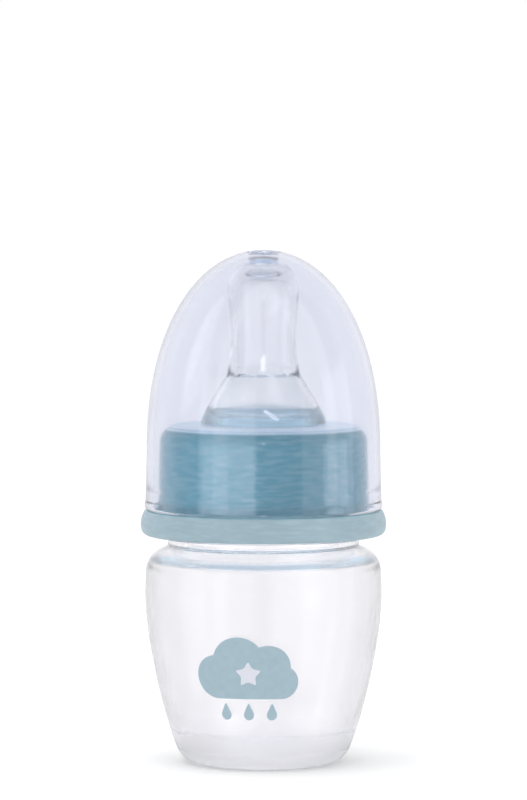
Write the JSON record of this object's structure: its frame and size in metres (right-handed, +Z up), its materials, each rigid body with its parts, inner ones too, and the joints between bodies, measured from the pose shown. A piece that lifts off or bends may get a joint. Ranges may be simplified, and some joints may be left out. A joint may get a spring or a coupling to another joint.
{
  "type": "baby bottle",
  "caption": "Small baby bottle: translucent rounded body with a threaded neck, silicone teat, flanged screw collar and clear dome cap that lifts off.",
  "frame": {"origin": "centre of the ring that the bottle stands on, at the lowest point of the body", "axes": "+Z up along the axis that every piece is turned about, +X to the right and -Y to the front, where the printed motif is"},
  "size_m": [0.052, 0.052, 0.1086],
  "materials": {
    "body": "milky translucent polypropylene, satin",
    "collar": "pale blue polypropylene, smooth wall and satin flange",
    "teat": "clear liquid silicone",
    "cap": "clear polypropylene with a lavender tint, polished",
    "print": "pale blue screen-printed ink"
  },
  "bodies": {
    "bottle": {"bottle_body": "body"},
    "teat": {"teat": "teat"},
    "collar": {"screw_collar": "collar"},
    "cap": {"dome_cap": "cap"}
  },
  "joints": [
    {"name": "teat_lift", "type": "slide", "parent": "bottle", "child": "teat", "axis": [0, 0, 1], "range_m": [0, 0.008]},
    {"name": "collar_turn", "type": "hinge", "parent": "teat", "child": "collar", "pos_m": [0, 0, 0.06], "axis": [0, 0, 1], "range_deg": [0, 720]},
    {"name": "cap_pull", "type": "slide", "parent": "collar", "child": "cap", "axis": [0, 0, 1], "range_m": [0, 0.07]}
  ],
  "couplings": [
    {"joint": "teat_lift", "follows": "collar_turn", "m_per_rad": 0.00063662}
  ]
}
